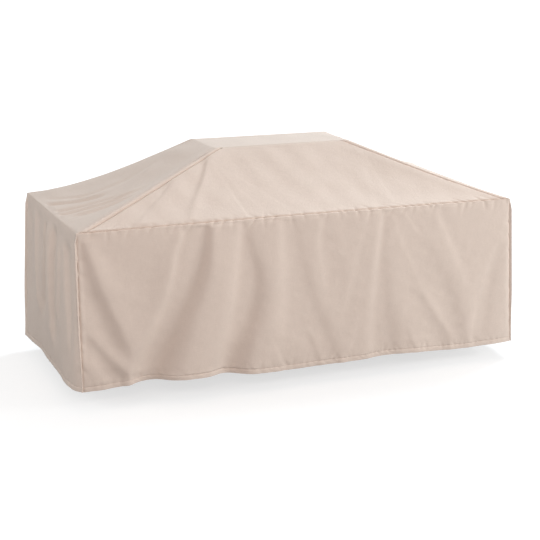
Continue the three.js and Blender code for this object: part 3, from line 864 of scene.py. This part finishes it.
# %% [markdown]
# ## The long skirts
# A skirt hangs from the eave seam. Its top few rows lie on the slope, go over the soft
# edge and hang down to the hem, so the edge of the table shows as a bright rounded line
# under a dark seam.

# %% Front and back skirt
def lay_skirt(name, spacing, down_spacing):
    roof = name.replace("skirt", "roof")
    lines = grid_lines(EAVE_LENGTH, CORNER_LINES, CORNER_LINES, spacing)
    s = lines / EAVE_LENGTH
    s = s if name == "front_skirt" else s[::-1]
    down = grid_lines(DROP, SKIRT_TOP_LINES, HEM_LINES, down_spacing)
    hanging_part = cloth(name, s[None, :], down[::-1, None] / DROP)
    lap = np.array([0.25, 0.45, 0.62, 0.76, 0.87, 0.97])
    over = lap[:, None] * eave_seam(s)
    lap_part = cloth(roof, s[None, :], 1 - over / RISES[roof])
    points = np.concatenate([hanging_part, lap_part])
    height = np.concatenate([DROP - down[::-1], DROP + lap * 8 * MM])
    flat = np.stack(np.broadcast_arrays(s[None, :] * EAVE_LENGTH, height[:, None]), axis=-1)
    return lay_sheet(name + "_cloth", points, flat)


front_skirt = lay_skirt("front_skirt", 6 * MM, 8.5 * MM)
back_skirt = lay_skirt("back_skirt", 12 * MM, 14 * MM)

# %% [markdown]
# ## The centre strip
# One long piece goes over the whole cover from end to end: up the left end, up the left
# slope, along the ridge, and down the other side. It is narrow at the ridge, and only
# bends where a box would have edges, so those edges are soft.

# %% Centre strip
STRIP_RUN = [  # face, climbs, spacing along the strip in mm
    ("left_end", True, 11), ("left_roof", True, 11), ("ridge", False, 26),
    ("right_roof", False, 24), ("right_end", False, 22),
]


def lay_strip():
    lines = grid_lines(EAVE_WIDTH, RIB_LINES, RIB_LINES, 6.3 * MM)
    rows, flats, run = [], [], 0.0
    for face, climbs, spacing in STRIP_RUN:
        length = face_length(face)
        start = HEM_LINES if face == "left_end" else BEND_LINES
        stop = HEM_LINES if face == "right_end" else BEND_LINES
        along = grid_lines(length, start, stop, spacing * MM)
        along = along if face == "left_end" else along[1:]
        for a in along:
            t = 1 - a / length if climbs else a / length
            if face.endswith("roof"):
                s = roof_shares(face, lines * slant_of(face), t)
            elif face == "ridge":
                s = roof_shares("left_roof", lines * slant_of("left_roof"), 0.0)
            else:
                s = lines / EAVE_WIDTH
            s = s[::-1]
            place, _ = flat_place(face, s, np.full(s.shape, t))
            offset = (EAVE_WIDTH - RIDGE_WIDTH) / 2 if face == "ridge" else 0
            rows.append(cloth(face, s, np.full(s.shape, t)))
            flats.append(np.stack([place + offset, np.full(s.shape, run + a)], axis=-1))
        run += length
    return lay_sheet("centre_strip_cloth", np.array(rows), np.array(flats)), run


centre_strip, strip_length = lay_strip()
print("strip:", round(strip_length, 3), "m long")

# %% [markdown]
# ## Woven polyester
# The cloth is a plain weave of thick, dull yarn with a coating on its inner side. Each
# yarn goes over one and under the next, so the pattern is a chequer of small ribs that run one
# way and then the other. The colour is a warm sand, never quite even: some yarns
# are thicker, and the dye takes differently over a metre. Rough, with little gloss and a
# slight soft sheen at glancing angles.

# %% Cloth material
SAND = (0.715, 0.600, 0.525)
YARN = 1.1 * MM


def cloth_material(name, colour):
    material = bpy.data.materials.new(name)
    material.use_nodes = True
    tree = material.node_tree
    shader = tree.nodes["Principled BSDF"]
    shader.inputs["Roughness"].default_value = 0.82
    shader.inputs["Specular IOR Level"].default_value = 0.22
    shader.inputs["Sheen Weight"].default_value = 0.12
    shader.inputs["Sheen Roughness"].default_value = 0.45
    shader.inputs["Sheen Tint"].default_value = (1.0, 0.95, 0.9, 1)

    def work_out(operation, a, b):
        return add_node(tree, "ShaderNodeMath", {0: a, 1: b}, operation=operation).outputs[0]

    flat = add_node(tree, "ShaderNodeUVMap", uv_map="flat_cut").outputs[0]
    axes = add_node(tree, "ShaderNodeSeparateXYZ", {0: flat}).outputs

    def yarns(axis):
        turned = work_out("MULTIPLY", axes[axis], math.pi / YARN)
        return work_out("ABSOLUTE", work_out("SINE", turned, 0.0), 0.0)

    chequer = add_node(tree, "ShaderNodeTexChecker", {"Vector": flat, "Scale": 1 / YARN}).outputs["Fac"]
    over_under = {0: chequer, 2: yarns(0), 3: yarns(1)}
    weave = add_node(tree, "ShaderNodeMix", over_under, data_type="FLOAT").outputs[0]

    def slubs(scale_u, scale_v, seed):
        stretch = add_node(tree, "ShaderNodeMapping", {"Vector": flat, "Scale": (scale_u, scale_v, 1),
                                                       "Location": (seed, seed * 2, 0)}).outputs[0]
        noise = add_node(tree, "ShaderNodeTexNoise", {"Vector": stretch, "Scale": 1.0, "Detail": 2.0})
        return noise.outputs["Fac"]

    across, along = slubs(30, 420, 3.1), slubs(420, 30, 7.7)
    mottle, patches, crumple = slubs(3, 3, 1.3), slubs(26, 26, 5.9), slubs(60, 60, 9.2)
    tone = 1.0
    for value, weight in ((weave, 0.09), (across, 0.08), (along, 0.08), (mottle, 0.05), (patches, 0.03)):
        tone = work_out("ADD", work_out("MULTIPLY", work_out("SUBTRACT", value, 0.5), weight), tone)
    tint = add_node(tree, "ShaderNodeVectorMath", {0: colour, "Scale": tone}, operation="SCALE")
    tree.links.new(tint.outputs[0], shader.inputs["Base Color"])

    relief = work_out("MULTIPLY", weave, 0.12 * MM)
    for value, height in ((crumple, 0.9 * MM), (patches, 1.2 * MM)):
        relief = work_out("ADD", relief, work_out("MULTIPLY", value, height))
    bump = add_node(tree, "ShaderNodeBump", {"Distance": 1.0, "Strength": 0.6, "Height": relief})
    tree.links.new(bump.outputs[0], shader.inputs["Normal"])
    print(name, "has", len(tree.nodes), "nodes")
    return material


sand_cloth = cloth_material("sand_polyester", SAND)
for sheet in (front_roof, back_roof, front_skirt, back_skirt, centre_strip):
    sheet.data.materials.clear()
    sheet.data.materials.append(sand_cloth)

# %% [markdown]
# ## Stitches
# Matching thread holds the folded cloth down beside the hips, and holds the hems. One stitch
# is a short rod with five sides. An Array modifier repeats it, and a Curve modifier bends
# the row along a line read from `cloth`, so the thread lies in the groove that it
# pulls. Drawing the thread as a texture would save faces, but it would not catch the light.

# %% Stitch rows
STITCH_LENGTH = 3.4 * MM
STITCH_PITCH = 5 * MM
THREAD_RADIUS = 0.5 * MM
HIP_STITCHES = 16 * MM  # from the seam
HEM_STITCHES = 20 * MM  # from the edge


def beside_hips(face):
    """Lines of points beside both hips of a slope, from the top down."""
    top, foot = FACES[face][2:]
    t = np.linspace(0.02, 0.97, 160)
    share = HIP_STITCHES / (mix(top, foot, t) * slant_of(face))
    return [cloth(face, share, t), cloth(face, 1 - share, t)]


def above_hem(face):
    s = np.linspace(0.006, 0.994, 420)
    return [cloth(face, s, 1 - HEM_STITCHES / DROP)]


def stitch_row(points):
    """One row of stitches along a line of points."""
    bpy.ops.object.select_all(action="DESELECT")
    path = bpy.data.curves.new("stitch_path", "CURVE")
    path.dimensions = "3D"
    spline = path.splines.new("POLY")
    spline.points.add(len(points) - 1)
    spline.points.foreach_set("co", np.column_stack([points, np.ones(len(points))]).ravel())
    guide = bpy.data.objects.new("stitch_path", path)
    bpy.context.scene.collection.objects.link(guide)
    bpy.ops.mesh.primitive_cylinder_add(vertices=5, radius=THREAD_RADIUS, depth=STITCH_LENGTH,
                                        location=(STITCH_PITCH / 2, 0, 0), rotation=(0, math.pi / 2, 0))
    bpy.ops.object.transform_apply(location=True, rotation=True, scale=True)
    row = bpy.context.object
    repeat = row.modifiers.new("repeat", "ARRAY")
    repeat.fit_type = "FIT_CURVE"
    repeat.curve = guide
    repeat.use_relative_offset = False
    repeat.use_constant_offset = True
    repeat.constant_offset_displace = (STITCH_PITCH, 0, 0)
    follow = row.modifiers.new("follow", "CURVE")
    follow.object = guide
    for modifier in (repeat, follow):
        bpy.ops.object.modifier_apply(modifier=modifier.name)
    bpy.data.objects.remove(guide)
    return row


def sew(sheet, lines):
    """All the stitches of one sheet, joined."""
    rows = [stitch_row(points) for points in lines]
    bpy.ops.object.select_all(action="DESELECT")
    for row in rows:
        row.select_set(True)
    bpy.context.view_layer.objects.active = rows[0]
    if len(rows) > 1:
        bpy.ops.object.join()
    rows[0].name = rows[0].data.name = sheet.name.replace("_cloth", "_stitches")
    bpy.ops.object.shade_smooth_by_angle(angle=math.radians(80))
    print(rows[0].name, len(rows[0].data.polygons) // 7, "stitches")
    return rows[0]


strip_lines = beside_hips("left_roof") + beside_hips("right_roof")
strip_lines += above_hem("left_end") + above_hem("right_end")
stitches = {
    "front_roof": sew(front_roof, beside_hips("front_roof")),
    "back_roof": sew(back_roof, beside_hips("back_roof")),
    "front_skirt": sew(front_skirt, above_hem("front_skirt")),
    "back_skirt": sew(back_skirt, above_hem("back_skirt")),
    "centre_strip": sew(centre_strip, strip_lines),
}

# %% [markdown]
# ## Thread
# The thread is a twisted polyester in the colour of the cloth, painted a little darker as
# painted shade for the groove that each stitch lies in. Its strands show as fine slanting
# bands, in colour and in relief.

# %% Thread material
thread = bpy.data.materials.new("sand_thread")
thread.use_nodes = True
tree = thread.node_tree
shader = tree.nodes["Principled BSDF"]
shader.inputs["Roughness"].default_value = 0.6
place = add_node(tree, "ShaderNodeTexCoord").outputs["Object"]
strands = add_node(tree, "ShaderNodeTexWave", {"Vector": place, "Scale": 420, "Distortion": 1.5},
                   bands_direction="DIAGONAL").outputs["Fac"]
# both thread colours are darker than the cloth: painted shade of the grooves the stitches lie in
tint = add_node(tree, "ShaderNodeMix", {"Factor": strands, "A": (0.50, 0.41, 0.35, 1),
                                        "B": (0.66, 0.55, 0.48, 1)}, data_type="RGBA")
twist = add_node(tree, "ShaderNodeBump", {"Distance": 0.15 * MM, "Height": strands})
tree.links.new(tint.outputs["Result"], shader.inputs["Base Color"])
tree.links.new(twist.outputs["Normal"], shader.inputs["Normal"])
for row in stitches.values():
    row.data.materials.clear()
    row.data.materials.append(thread)
print("thread on", len(stitches), "pieces")

# %% [markdown]
# ## Fixing the pieces to the model
# Every piece rides on the one body of the model and stands for its solid, which is hidden.

# %% Declarations
for sheet in (front_roof, back_roof, front_skirt, back_skirt, centre_strip):
    node_name = sheet.name.replace("_cloth", "")
    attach(sheet, "root")
    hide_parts(node_name)
    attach(stitches[node_name], "root")

# %% The two boxes
visual_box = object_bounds()
boxes = {
    "cad": [[float(v) for v in end] for end in cad_box],
    "visual": [[float(v) for v in end] for end in visual_box],
}
for axis, name in enumerate("xyz"):
    low = boxes["cad"][0][axis] - boxes["visual"][0][axis]
    high = boxes["visual"][1][axis] - boxes["cad"][1][axis]
    print(f"{name}: outside the solids by {low * 1000:.1f} and {high * 1000:.1f} mm")
